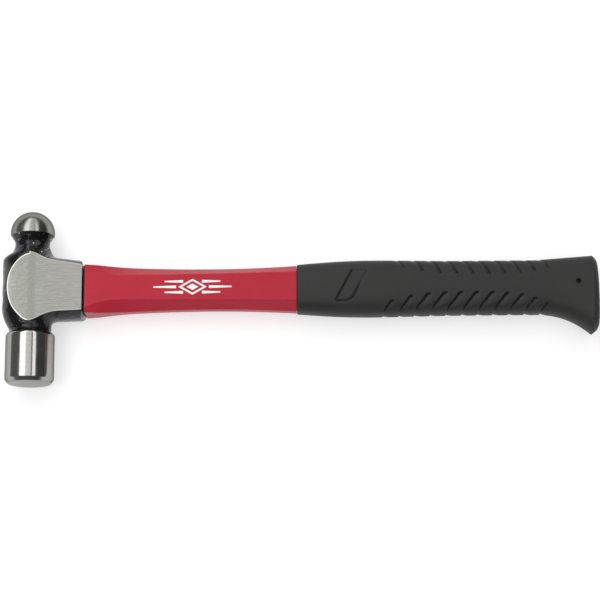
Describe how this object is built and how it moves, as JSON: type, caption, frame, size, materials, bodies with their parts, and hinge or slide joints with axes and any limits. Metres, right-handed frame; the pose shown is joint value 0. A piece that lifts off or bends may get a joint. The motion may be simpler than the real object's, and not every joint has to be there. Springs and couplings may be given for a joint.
{
  "type": "ball peen hammer",
  "caption": "Steel ball peen head with ground cheeks, bonded to a fibreglass handle with a plastic jacket and a soft flared grip, for striking and peening metal.",
  "frame": {"origin": "the middle of the underside of the bounding box, with the hammer lying on its side", "axes": "+X runs along the handle from the head to the butt, +Y points from the striking face to the ball, +Z is square to the ground cheeks"},
  "size_m": [0.345, 0.1022, 0.0282],
  "materials": {
    "head_steel": "polished ball and poll, ground cheeks, black painted necks and boss sides",
    "fibreglass": "cut glass fibre rod, matt",
    "epoxy": "cast resin, slightly glossy",
    "seal_rubber": "matt black rubber",
    "red_plastic": "glossy moulded red plastic",
    "grip_rubber": "fine-textured dark grey soft plastic"
  },
  "bodies": {
    "root": {"hammer_head": "head_steel", "handle_core": "fibreglass", "eye_epoxy": "epoxy", "eye_seal_ring": "seal_rubber", "handle_jacket": "red_plastic", "grip": "grip_rubber"}
  },
  "joints": []
}
